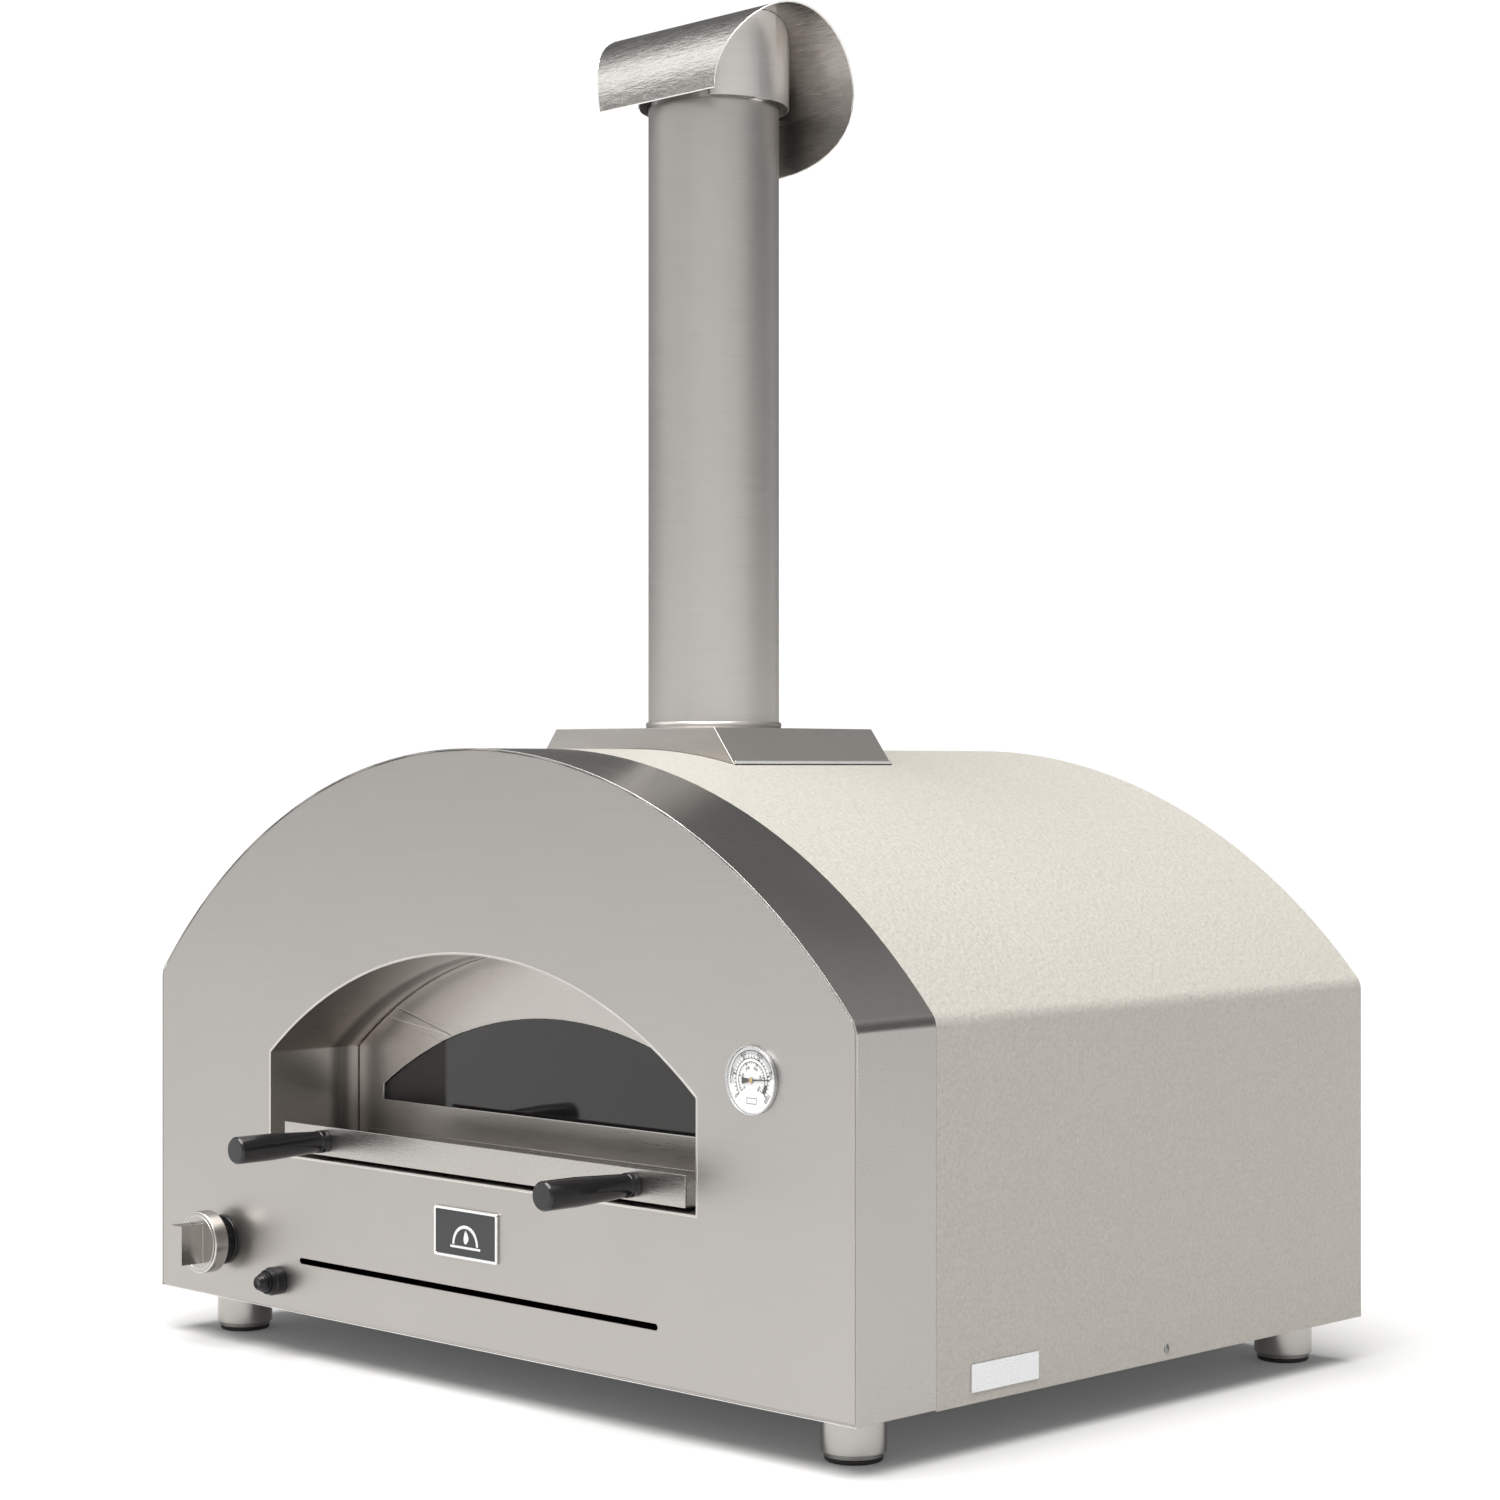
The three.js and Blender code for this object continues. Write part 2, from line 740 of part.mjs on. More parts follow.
// A needle with a broad tail, on a hub whose spindle runs back through the dial.
function gaugePointer() {
  const needle = [[-13, -3.2], [0, -0.9], [26, -0.4], [26, 0.4], [0, 0.9], [-13, 3.2]];
  const blade = plate(new THREE.Shape(needle.map(([x, z]) => new THREE.Vector2(x, z))), -3.3, -2.8);
  const hub = turned([[0, -3.8], [2.4, -3.8], [2.8, -3.4], [2.8, -2.6], [spindle.radius, -2.6], [spindle.radius, 8], [0, 8]]);
  const lift = (4 * Math.PI) / 180;
  return alongY(join(blade, hub).rotateY(-lift), gaugePlace);
}

function gaugeGlass() {
  const rim = gauge.recess - gap;
  return alongY(turned([[0, -4.9], [rim, -4.9], [rim, -4.2], [0, -4.2]], 32), gaugePlace);
}

function gaugeProbe() {
  return alongY(turned([[0, 14.4], [3, 14.4], [3, 228], [0, 230]], 12), gaugePlace);
}

addPiece('thermometer_case', gaugeCase(), aluminium);
addPiece('thermometer_dial', gaugeDial(), dialWhite);
addPiece('thermometer_pointer', gaugePointer(), blackPlastic);
addPiece('thermometer_glass', gaugeGlass(), clearGlass);
addPiece('thermometer_probe', gaugeProbe(), zincSteel);

// ---------------------------------------------------------------- plates on the case

const badge = { half: 52.5, low: 94.5, high: 148.5, near: -3.3 };
const sidePlate = { near: 164, far: 267, low: 9.4, high: 37.4, thick: 1 };

addPiece(
  'front_badge',
  block([-badge.half, badge.near, badge.low], [badge.half, -gap, badge.high]),
  blackPlastic,
);
addPiece(
  'side_plate',
  block(
    [caseArch.half + gap, sidePlate.near, sidePlate.low],
    [caseArch.half + gap + sidePlate.thick, sidePlate.far, sidePlate.high],
  ),
  aluminium,
);

// ---------------------------------------------------------------- door

const windowArch = { half: 305, top: 345, radius: 547, bottom: 233, corner: 1, steps: 32 };
const doorSlack = 1.6; // room between the door panel and the tunnel round it

function doorPanel() {
  const leaf = new THREE.Shape(archLine(mouth, -doorSlack, mouth.bottom + 2.6));
  leaf.holes.push(archHole(windowArch));
  return plate(leaf, doorFace, doorFace + sheet);
}

const glass = { near: doorFace + sheet + gap, thick: 4, lap: 12 };
const retainer = { near: glass.near + glass.thick + gap, outer: 16, inner: -2 };

const tray = { half: 332, near: 5, low: 182.5, lip: 215.5, back: 198 };

// A folded channel: front lip with the grips, web under the door, and a low flange against its panel.
function doorTray() {
  const far = doorFace - gap;
  const corners = [
    [tray.near, tray.low],
    [far, tray.low],
    [far, tray.back],
    [far - sheet, tray.back],
    [far - sheet, tray.low + sheet],
    [tray.near + sheet, tray.low + sheet],
    [tray.near + sheet, tray.lip],
    [tray.near, tray.lip],
  ];
  const section = new THREE.Shape(corners.map(([y, z]) => new THREE.Vector2(y, z)));
  const channel = new THREE.ExtrudeGeometry(section, { depth: 2 * tray.half, bevelEnabled: false });
  return channel.rotateX(Math.PI / 2).rotateZ(Math.PI / 2).translate(-tray.half, 0, 0);
}

const gripSpread = 256;
const gripHeight = 199;

// A tapered grip, fattest at its free end, with a ferrule at its root.
function doorGrip(x) {
  const [tip, root, seat] = [-gripReach, -6, tray.near - gap];
  const profile = [
    [0, tip],
    [13.5, tip],
    [15.2, tip + 2.5],
    [15.2, tip + 45],
    [12, root],
    [12.9, root],
    [12.9, seat],
    [0, seat],
  ];
  return alongY(turned(profile), { x, z: gripHeight });
}

addPiece('door_panel', doorPanel(), brushedSteel);
addPiece('door_glass', plate(archShape(windowArch, glass.lap), glass.near, glass.near + glass.thick), darkGlass);
addPiece(
  'glass_retainer',
  plate(archRing(windowArch, retainer.outer, retainer.inner), retainer.near, retainer.near + 1.5),
  darkSteel,
);
addPiece('door_tray', doorTray(), brushedSteel);
addPiece('door_grip_left', doorGrip(-gripSpread), blackPlastic);
addPiece('door_grip_right', doorGrip(gripSpread), blackPlastic);

export default oven;
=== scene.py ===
"""The looks of the countertop pizza oven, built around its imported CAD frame.

Metres throughout. The oven stands on z = 0 with its front face towards -Y.
"""

import json
import math

import bmesh
import bpy
from mathutils import Matrix, Vector


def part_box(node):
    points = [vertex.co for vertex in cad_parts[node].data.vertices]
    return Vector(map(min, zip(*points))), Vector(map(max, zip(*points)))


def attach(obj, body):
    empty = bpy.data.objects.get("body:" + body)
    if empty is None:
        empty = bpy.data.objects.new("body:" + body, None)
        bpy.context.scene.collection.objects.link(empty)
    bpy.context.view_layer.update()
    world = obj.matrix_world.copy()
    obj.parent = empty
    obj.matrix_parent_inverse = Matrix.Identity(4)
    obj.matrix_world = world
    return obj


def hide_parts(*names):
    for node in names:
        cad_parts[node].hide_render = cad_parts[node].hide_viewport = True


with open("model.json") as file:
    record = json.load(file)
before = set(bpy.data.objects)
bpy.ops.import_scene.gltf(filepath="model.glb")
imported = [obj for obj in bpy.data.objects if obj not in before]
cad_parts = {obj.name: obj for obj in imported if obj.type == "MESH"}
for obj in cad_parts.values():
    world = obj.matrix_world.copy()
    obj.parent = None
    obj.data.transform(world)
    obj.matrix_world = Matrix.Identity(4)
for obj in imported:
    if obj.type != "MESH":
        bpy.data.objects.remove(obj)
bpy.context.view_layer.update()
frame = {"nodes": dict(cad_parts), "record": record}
nodes = frame["nodes"]
scene = bpy.context.scene
scene.view_settings.view_transform = "Standard"

MM = 0.001
CASE_HALF_DEPTH = 373.75 * MM
NOISE_RANGE = (0.3, 0.7)  # where nearly all of a noise texture's values lie
FEET = ("front_left", "front_right", "rear_left", "rear_right")

# ---------------------------------------------------------------- camera, fitted to the photograph's edges

camera_data = bpy.data.cameras.new("camera")
camera_data.sensor_width = 36.0
camera_data.lens = 73.65
camera_data.shift_y = 0.0112
camera = bpy.data.objects.new("camera", camera_data)
camera.location = (2.537, -2.49375, 0.675)
camera.rotation_euler = (math.pi / 2, 0, math.radians(44.85))
scene.collection.objects.link(camera)
scene.camera = camera

# ---------------------------------------------------------------- node helpers


class Tree:
    """Short ways to add and join shader nodes."""

    def __init__(self, tree):
        self.tree = tree
        self.tree.nodes.clear()

    def add(self, kind, settings=None, **inputs):
        node = self.tree.nodes.new(kind)
        for name, value in (settings or {}).items():
            setattr(node, name, value)
        for name, value in inputs.items():
            self.give(node.inputs[name.replace("_", " ")], value)
        return node

    def give(self, socket, value):
        if isinstance(value, bpy.types.NodeSocket):
            self.tree.links.new(value, socket)
        else:
            socket.default_value = value

    def math(self, operation, a, b=0.0):
        node = self.tree.nodes.new("ShaderNodeMath")
        node.operation = operation
        self.give(node.inputs[0], a)
        self.give(node.inputs[1], b)
        return node.outputs[0]

    def remap(self, value, low, high, to_low, to_high, smooth=False):
        node = self.tree.nodes.new("ShaderNodeMapRange")
        node.interpolation_type = "SMOOTHSTEP" if smooth else "LINEAR"
        for name, number in (
            ("From Min", low),
            ("From Max", high),
            ("To Min", to_low),
            ("To Max", to_high),
        ):
            node.inputs[name].default_value = number
        self.give(node.inputs["Value"], value)
        return node.outputs["Result"]

    def spread(self, noise, to_low, to_high):
        """Stretches a noise's usual range over another."""
        return self.remap(noise, *NOISE_RANGE, to_low, to_high)

    def weighted(self, first, second, share):
        """share of the first value and the rest of the second."""
        rest = self.math("MULTIPLY", second, 1.0 - share)
        return self.math("ADD", self.math("MULTIPLY", first, share), rest)

    def noise(self, vector, scale, detail=3.0, rough=0.55):
        node = self.add("ShaderNodeTexNoise", Scale=scale, Detail=detail, Roughness=rough)
        self.give(node.inputs["Vector"], vector)
        return node.outputs["Fac"]

    def stretched(self, vector, stretch):
        node = self.tree.nodes.new("ShaderNodeMapping")
        node.inputs["Scale"].default_value = stretch
        self.give(node.inputs["Vector"], vector)
        return node.outputs["Vector"]

    def blend(self, factor, first, second):
        node = self.tree.nodes.new("ShaderNodeMix")
        node.data_type = "RGBA"
        self.give(node.inputs["Factor"], factor)
        self.give(node.inputs[6], first)
        self.give(node.inputs[7], second)
        return node.outputs[2]

    def shades(self, factor, colour, low, high):
        """The colour from low to high times its brightness."""
        return self.blend(factor, rgba(colour, low), rgba(colour, high))

    def bump(self, height, strength, distance):
        node = self.add("ShaderNodeBump", Strength=strength, Distance=distance)
        self.give(node.inputs["Height"], height)
        return node.outputs["Normal"]


def rgba(colour, factor=1.0):
    return tuple(min(1.0, c * factor) for c in colour) + (1.0,)


def new_material(name):
    """A material with its node tree, its shader and the object's coordinates."""
    material = bpy.data.materials.new(name)
    material.use_nodes = True
    tree = Tree(material.node_tree)
    shader = tree.add("ShaderNodeBsdfPrincipled")
    output = tree.add("ShaderNodeOutputMaterial")
    tree.tree.links.new(shader.outputs["BSDF"], output.inputs["Surface"])
    place = tree.add("ShaderNodeTexCoord").outputs["Object"]
    return material, tree, shader, place


def brushed(
    name,
    colour,
    rough,
    grain,
    contrast=0.05,
    relief=0.10,
    cloud=6.0,
    aniso=0.0,
    depth=0.0004,
    painted_shade_band=None,
):
    """Brushed metal.

    grain stretches the noise: a small number runs along the brushing, a large one across it.
    The last argument, (y, half width, share of the colour left), paints shade: a darker band across the
    steel where shade falls at the gap inside the mouth.
    """
    material, tree, shader, place = new_material(name)
    streaks = tree.noise(tree.stretched(place, grain), 1.0, 4.0, 0.6)
    fine = tree.noise(tree.stretched(place, tuple(2.7 * g for g in grain)), 1.0, 2.0, 0.5)
    clouds = tree.noise(place, cloud, 2.0)
    mixed = tree.weighted(streaks, fine, 0.65)
    metal = tree.shades(tree.spread(mixed, 0.0, 1.0), colour, 1.0 - contrast, 1.0 + contrast)
    # painted shade: darkens a band across the steel where shade falls at the gap inside the mouth
    if painted_shade_band:
        middle, half_width, left_over = painted_shade_band
        split = tree.add("ShaderNodeSeparateXYZ")
        tree.give(split.inputs["Vector"], place)
        away = tree.math("ABSOLUTE", tree.math("SUBTRACT", split.outputs["Y"], middle))
        shade_mask = tree.remap(away, 0.3 * half_width, half_width, 1.0, 0.0, smooth=True)
        metal = tree.blend(shade_mask, metal, rgba(colour, left_over))
    tree.give(shader.inputs["Base Color"], metal)
    shader.inputs["Metallic"].default_value = 1.0
    shader.inputs["Anisotropic"].default_value = aniso
    swing = min(0.05, contrast)
    wear = tree.math("ADD", tree.spread(mixed, -swing, swing), tree.spread(clouds, -0.02, 0.02))
    tree.give(shader.inputs["Roughness"], tree.math("ADD", wear, rough))
    tree.give(shader.inputs["Normal"], tree.bump(mixed, relief, depth))
    return material


def plain(name, colour, rough, speckle, contrast, relief, metallic=0.0, ior=1.5):
    """Moulded, painted or fired surface: a fine speckle in colour, gloss and relief, over a slow cloud."""
    material, tree, shader, place = new_material(name)
    grain = tree.noise(place, speckle, 3.0)
    clouds = tree.noise(place, 9.0, 3.0)
    tone = tree.weighted(grain, clouds, 0.6)
    coloured = tree.shades(tree.spread(tone, 0.0, 1.0), colour, 1.0 - contrast, 1.0 + contrast)
    tree.give(shader.inputs["Base Color"], coloured)
    tree.give(shader.inputs["Roughness"], tree.spread(tone, rough - 0.04, rough + 0.04))
    tree.give(shader.inputs["Normal"], tree.bump(grain, relief, 0.0003))
    shader.inputs["Metallic"].default_value = metallic
    shader.inputs["IOR"].default_value = ior
    return material


def orange_peel(name, colour):
    """Textured powder coat: soft pimples a few millimetres across, with a fine grain between them."""
    material, tree, shader, place = new_material(name)
    cells = tree.add("ShaderNodeTexVoronoi", {"feature": "SMOOTH_F1"}, Scale=165.0, Smoothness=0.9)
    tree.give(cells.inputs["Vector"], place)
    wrinkle = tree.noise(place, 240.0, 4.0, 0.65)
    clouds = tree.noise(place, 5.0, 3.0)
    height = tree.math("ADD", tree.math("MULTIPLY", cells.outputs["Distance"], 0.6), wrinkle)
    tone = tree.weighted(wrinkle, clouds, 0.93)
    tree.give(shader.inputs["Base Color"], tree.shades(tree.spread(tone, 0.0, 1.0), colour, 0.87, 1.08))
    tree.give(shader.inputs["Roughness"], tree.spread(wrinkle, 0.42, 0.55))
    tree.give(shader.inputs["Normal"], tree.bump(height, 0.55, 0.0016))
    shader.inputs["Specular IOR Level"].default_value = 0.3
    return material


def fibre(name, colour):
    """Matted ceramic fibre: tangled strands in relief."""
    material, tree, shader, place = new_material(name)
    strands = tree.noise(tree.stretched(place, (60.0, 60.0, 400.0)), 4.0, 5.0, 0.7)
    lumps = tree.noise(place, 40.0, 3.0)
    tree.give(shader.inputs["Base Color"], tree.shades(strands, colour, 0.86, 1.05))
    tree.give(shader.inputs["Roughness"], tree.remap(strands, 0.2, 0.8, 0.85, 1.0))
    height = tree.math("ADD", strands, lumps)
    tree.give(shader.inputs["Normal"], tree.bump(height, 0.6, 0.002))
    return material


def fireclay(name, colour):
    """Pressed refractory tile: sandy grain, a few darker grog flecks and a light bloom of soot."""
    material, tree, shader, place = new_material(name)
    sand = tree.noise(place, 700.0, 4.0, 0.7)
    flecks = tree.noise(place, 210.0, 2.0)
    soot = tree.noise(place, 6.0, 4.0)
    body = tree.shades(sand, colour, 0.85, 1.12)
    flecked = tree.blend(tree.remap(flecks, 0.62, 0.68, 0.0, 0.5), body, rgba(colour, 0.45))
    sooty = tree.blend(tree.remap(soot, 0.5, 0.8, 0.0, 0.35), flecked, rgba(colour, 0.3))
    tree.give(shader.inputs["Base Color"], sooty)
    tree.give(shader.inputs["Roughness"], tree.remap(sand, 0.2, 0.8, 0.8, 0.95))
    tree.give(shader.inputs["Normal"], tree.bump(sand, 0.4, 0.0006))
    return material


def glass(name, tint, alpha, rough):
    """Tinted glass sheet: faint smears change its gloss a little."""
    material, tree, shader, place = new_material(name)
    smears = tree.noise(tree.stretched(place, (14.0, 14.0, 5.0)), 1.0, 4.0)
    tree.give(shader.inputs["Base Color"], tree.shades(smears, tint, 0.9, 1.1))
    tree.give(shader.inputs["Roughness"], tree.spread(smears, rough, rough + 0.03))
    shader.inputs["Alpha"].default_value = alpha
    shader.inputs["IOR"].default_value = 1.52
    return material


STEEL = (0.455, 0.436, 0.419)
CREAM = (0.420, 0.401, 0.366)
# painted shade: a darker band across the mouth's steel where shade falls at the gap inside it
MOUTH_PAINTED_SHADE = (-0.273, 0.020, 0.35)  # y, half width, share of the colour left
TURNED = (20, 20, 1200)  # grain that runs round an upright cylinder
# brushed: colour, roughness, grain, contrast, relief, cloud, anisotropy, depth, painted shade band.
# plain: colour, roughness, speckle, contrast, relief, metallic, index of refraction.
# glass: tint, alpha, roughness.
FINISHES = (
    (brushed, "brushed_steel_face", STEEL, 0.36, (9, 900, 900), 0.035, 0.06),
    (brushed, "brushed_steel_band", (0.405, 0.39, 0.376), 0.27, (1400, 8, 1400), 0.008, 0.004),
    (brushed, "brushed_steel_flue", (0.60, 0.578, 0.555), 0.36, (16, 16, 900), 0.05, 0.10, 3.0, 0.4),
    (brushed, "brushed_steel_cap", (0.455, 0.438, 0.42), 0.23, (42, 250, 250), 0.20, 0.9, 30.0, 0.0, 0.0010),
    # this steel is far lighter than the cap's: painted light lifting the collar out of the hood's shade
    (brushed, "brushed_steel_collar", (0.84, 0.815, 0.79), 0.34, (14, 14, 420), 0.05, 0.15),
    (brushed, "brushed_steel_door", (0.535, 0.51, 0.485), 0.31, (22, 700, 700), 0.05, 0.16),
    (brushed, "brushed_steel_tray", (0.47, 0.45, 0.43), 0.28, (26, 800, 800), 0.05, 0.22),
    (brushed, "brushed_steel_base", (0.50, 0.478, 0.455), 0.34, (12, 500, 500), 0.05, 0.08),
    (orange_peel, "cream_paint", CREAM),
    (plain, "zinc_plate", (0.42, 0.42, 0.42), 0.45, 260.0, 0.12, 0.10, 1.0),
    (brushed, "foot_steel", (0.43, 0.415, 0.395), 0.24, TURNED, 0.03, 0.04),
    (brushed, "insert_steel", (0.27, 0.26, 0.25), 0.28, TURNED, 0.03, 0.04),
    (plain, "foot_rubber", (0.018, 0.018, 0.018), 0.62, 1200.0, 0.2, 0.2),
    (brushed, "oven_steel", (0.50, 0.475, 0.45), 0.36, (400, 25, 700), 0.12, 0.25, 12.0),
    # this steel is lighter than oven_steel: painted light lifting the shaded tunnel inside the mouth; its
    # band is painted shade
    (
        brushed, "mouth_steel", (0.60, 0.572, 0.545), 0.32, (500, 25, 700),
        0.06, 0.15, 12.0, 0.0, 0.0004, MOUTH_PAINTED_SHADE,
    ),
    (fibre, "ceramic_fibre", (0.82, 0.80, 0.75)),
    (fireclay, "fireclay", (0.60, 0.48, 0.34)),
    (brushed, "brass", (0.62, 0.45, 0.20), 0.32, (900, 30, 900), 0.08, 0.10),
    (plain, "ceramic", (0.85, 0.83, 0.78), 0.22, 300.0, 0.03, 0.04),
    # this steel is far lighter than the sheets it edges: a painted highlight on the edge beads and the base
    # hems
    (brushed, "edge_steel", (0.90, 0.89, 0.87), 0.34, (300, 300, 300), 0.02, 0.03),
    (brushed, "knob_steel", (0.43, 0.412, 0.392), 0.24, (1200, 40, 1200), 0.05, 0.08),
    (plain, "black_plastic", (0.008, 0.008, 0.009), 0.24, 1500.0, 0.1, 0.1, 0.0, 1.38),
    (brushed, "badge", (0.80, 0.80, 0.80), 0.20, (30, 900, 900), 0.04, 0.05),
    (plain, "badge_inlay", (0.030, 0.031, 0.034), 0.40, 2500.0, 0.15, 0.12),
    (brushed, "side_aluminium", (0.66, 0.67, 0.68), 0.28, (900, 24, 900), 0.05, 0.08),
    (plain, "dial", (0.78, 0.78, 0.77), 0.45, 1500.0, 0.02, 0.03),
    (plain, "dial_ink", (0.012, 0.012, 0.014), 0.45, 1500.0, 0.1, 0.03),
    (plain, "dial_grey", (0.05, 0.05, 0.055), 0.45, 1500.0, 0.05, 0.03),
    (plain, "dial_shade", (0.50, 0.50, 0.51), 0.4, 1500.0, 0.03, 0.03),
    (plain, "screw_steel", (0.30, 0.30, 0.30), 0.35, 500.0, 0.10, 0.06, 1.0),
    (plain, "pointer", (0.010, 0.010, 0.010), 0.35, 1500.0, 0.1, 0.05),
    (glass, "dial_glass", (0.95, 0.97, 0.97), 0.04, 0.02),
    (glass, "door_glass", (0.012, 0.012, 0.012), 0.97, 0.03),
    (plain, "grip_black", (0.010, 0.010, 0.011), 0.16, 1400.0, 0.1, 0.05),
)
materials = {name: make(name, *settings) for make, name, *settings in FINISHES}

# ---------------------------------------------------------------- CAD nodes


def soft_edges(obj, width, segments=2):
    """Rounds obj's edges by width and shades it smoothly, all with modifiers."""
    for face in obj.data.polygons:
        face.use_smooth = True
    if width:
        rounding = obj.modifiers.new("bevel", "BEVEL")
        rounding.width = width
        rounding.segments = segments
        rounding.limit_method = "ANGLE"
        rounding.angle_limit = math.radians(30)
    normals = obj.modifiers.new("normals", "WEIGHTED_NORMAL")
    normals.keep_sharp = True


def dress(obj, material, bevel):
    """Gives a CAD node its material, softened edges and smooth shading; its own mesh isn't changed."""
    mesh = obj.data
    if mesh.has_custom_normals:
        mesh.attributes.remove(mesh.attributes["custom_normal"])
    mesh.materials.clear()
    mesh.materials.append(material)
    weld = obj.modifiers.new("weld", "WELD")
    weld.merge_threshold = 0.01 * MM
    soft_edges(obj, bevel)


SLOT_OF = {part["node"]: part["material_slot"] for part in frame["record"]["subparts"]}

# How far each node's edges are softened; thin sheet and hidden parts, which aren't listed, take SHEET_BEVEL.
SHEET_BEVEL = 0.35 * MM
BEVELS = {
    "hood_band": 0.9 * MM,
    "front_panel": 0.9 * MM,
    "door_panel": 0.7 * MM,
    "cap_hood": 0.5 * MM,
    "body_shell": 0.6 * MM,
    "chimney_base": 0.8 * MM,
    "door_tray": 0.6 * MM,
    "control_knob": 0.7 * MM,
    "knob_bezel": 0.4 * MM,
    "igniter_body": 0.35 * MM,
    "igniter_button": 0.7 * MM,
    "door_grip_left": 0.6 * MM,
    "door_grip_right": 0.6 * MM,
    "flue_ring": 0.8 * MM,
    "side_plate": 0.25 * MM,
    "thermometer_case": 0.25 * MM,
    "thermometer_dial": 0.0,
    "thermometer_glass": 0.15 * MM,
    "thermometer_pointer": 0.0,
    "dome_blanket": 0.0,
}
for foot in FEET:
    BEVELS["hearth_tile_" + foot] = 2.0 * MM
    BEVELS["foot_sleeve_" + foot] = 0.6 * MM
    BEVELS["foot_insert_" + foot] = 0.5 * MM
    BEVELS["foot_pad_" + foot] = 0.9 * MM
# Nodes whose look differs from the others in their material slot.
FINISH_OF = {
    "chimney_base": "brushed_steel_base",
    # the collar's lightened steel is painted light
    "cap_collar": "brushed_steel_collar",
    "door_panel": "brushed_steel_door",
    "door_tray": "brushed_steel_tray",
    # the mouth's steel: painted light that lifts the tunnel, and a band of painted shade
    "mouth_liner": "mouth_steel",
    "dome_front": "mouth_steel",
}
for foot in FEET:
    FINISH_OF["foot_insert_" + foot] = "insert_steel"
for name, obj in nodes.items():
    finish = FINISH_OF.get(name, SLOT_OF[name])
    dress(obj, materials[finish], BEVELS.get(name, SHEET_BEVEL))

# ---------------------------------------------------------------- new pieces


def make_piece(name, material, body, build, bevel=0.0, segments=2):
    """A closed mesh piece made by build(bm), which rides on body."""
    bm = bmesh.new()
    build(bm)
    bmesh.ops.remove_doubles(bm, verts=bm.verts, dist=1e-6)
    bmesh.ops.recalc_face_normals(bm, faces=bm.faces)
    mesh = bpy.data.meshes.new(name)
    bm.to_mesh(mesh)
    bm.free()
    obj = bpy.data.objects.new(name, mesh)
    scene.collection.objects.link(obj)
    mesh.materials.append(materials[material])
    soft_edges(obj, bevel, segments)
    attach(obj, body)
    return obj


def band_between(bm, inner, outer, near, far):
    """A closed ring from y near to y far, between two outlines of (x, z) points that match one to one."""
    rings = [
        [bm.verts.new((x, y, z)) for x, z in line]
        for line, y in ((outer, near), (outer, far), (inner, far), (inner, near))
    ]
    count = len(inner)
    for k in range(4):
        here, there = rings[k], rings[(k + 1) % 4]
        for i in range(count):
            j = (i + 1) % count
            bm.faces.new((here[i], here[j], there[j], there[i]))


def slab(bm, outline, near, far):
    """A closed plate with that (x, z) outline, from y near to y far."""
    front = [bm.verts.new((x, near, z)) for x, z in outline]
    back = [bm.verts.new((x, far, z)) for x, z in outline]
    count = len(outline)
    bm.faces.new(front)
    bm.faces.new(back[::-1])
    for i in range(count):
        j = (i + 1) % count
        bm.faces.new((front[j], front[i], back[i], back[j]))


def rounded_box(cx, cz, half_x, half_z, radius, steps=6):
    """(x, z) points round a rectangle with rounded corners."""
    points = []
    for sx, sz, start in ((1, 1, 0), (-1, 1, 90), (-1, -1, 180), (1, -1, 270)):
        for k in range(steps + 1):
            angle = math.radians(start + 90 * k / steps)
            points.append(
                (
                    cx + sx * (half_x - radius) + radius * math.cos(angle),
                    cz + sz * (half_z - radius) + radius * math.sin(angle),
                )
            )
    return points


def sector(cx, cz, inner, outer, start, end, steps):
    """(x, z) points round a sector of a ring. Angles are clockwise from straight up, seen from the front."""
    arc = [math.radians(start + (end - start) * k / steps) for k in range(steps + 1)]
    out = [(cx + outer * math.sin(a), cz + outer * math.cos(a)) for a in arc]
    back = [(cx + inner * math.sin(a), cz + inner * math.cos(a)) for a in reversed(arc)]
    return out + back


def turned(bm, profile, centre, axis, steps=32):
    """A closed lathe shape: profile is (distance along axis, radius) from one pole to the other."""
    turn = Vector((0, 0, 1)).rotation_difference(Vector(axis)).to_matrix()
    rings = []
    for along, radius in profile:
        if radius <= 0:
            rings.append([bm.verts.new(Vector(centre) + turn @ Vector((0, 0, along)))])
            continue
        ring = []
        for k in range(steps):
            angle = 2 * math.pi * k / steps
            local = Vector((radius * math.cos(angle), radius * math.sin(angle), along))
            ring.append(bm.verts.new(Vector(centre) + turn @ local))
        rings.append(ring)
    for low, high in zip(rings, rings[1:]):
        for k in range(steps):
            j = (k + 1) % steps
            if len(low) == 1:
                bm.faces.new((low[0], high[j], high[k]))
            elif len(high) == 1:
                bm.faces.new((low[k], low[j], high[0]))
            else:
                bm.faces.new((low[k], low[j], high[j], high[k]))


def outline_of(node, keep):
    """(x, z) points on a node's front face that keep(x, z) picks, in order round their middle."""
    mesh = nodes[node].data
    front = min(v.co.y for v in mesh.vertices)
    found = {
        (round(v.co.x, 5), round(v.co.z, 5))
        for v in mesh.vertices
        if v.co.y < front + 0.02 * MM and keep(v.co.x, v.co.z)
    }
    middle_z = (min(z for _, z in found) + max(z for _, z in found)) / 2
    return sorted(found, key=lambda p: math.atan2(p[0], middle_z - p[1]))


def outermost(points, middle_z, spread=0.012, margin=0.6 * MM):
    """Of two nested outlines, the points of the outer one.

    A point is dropped where another lies within spread (radians) of it and farther out by margin.
    """

    def polar(point):
        return math.atan2(point[0], middle_z - point[1]), math.hypot(point[0], point[1] - middle_z)

    placed = [(*polar(p), p) for p in points]
    return [
        point
        for angle, r, point in placed
        if all(abs(a - angle) > spread or q < r + margin for a, q, _ in placed)
    ]


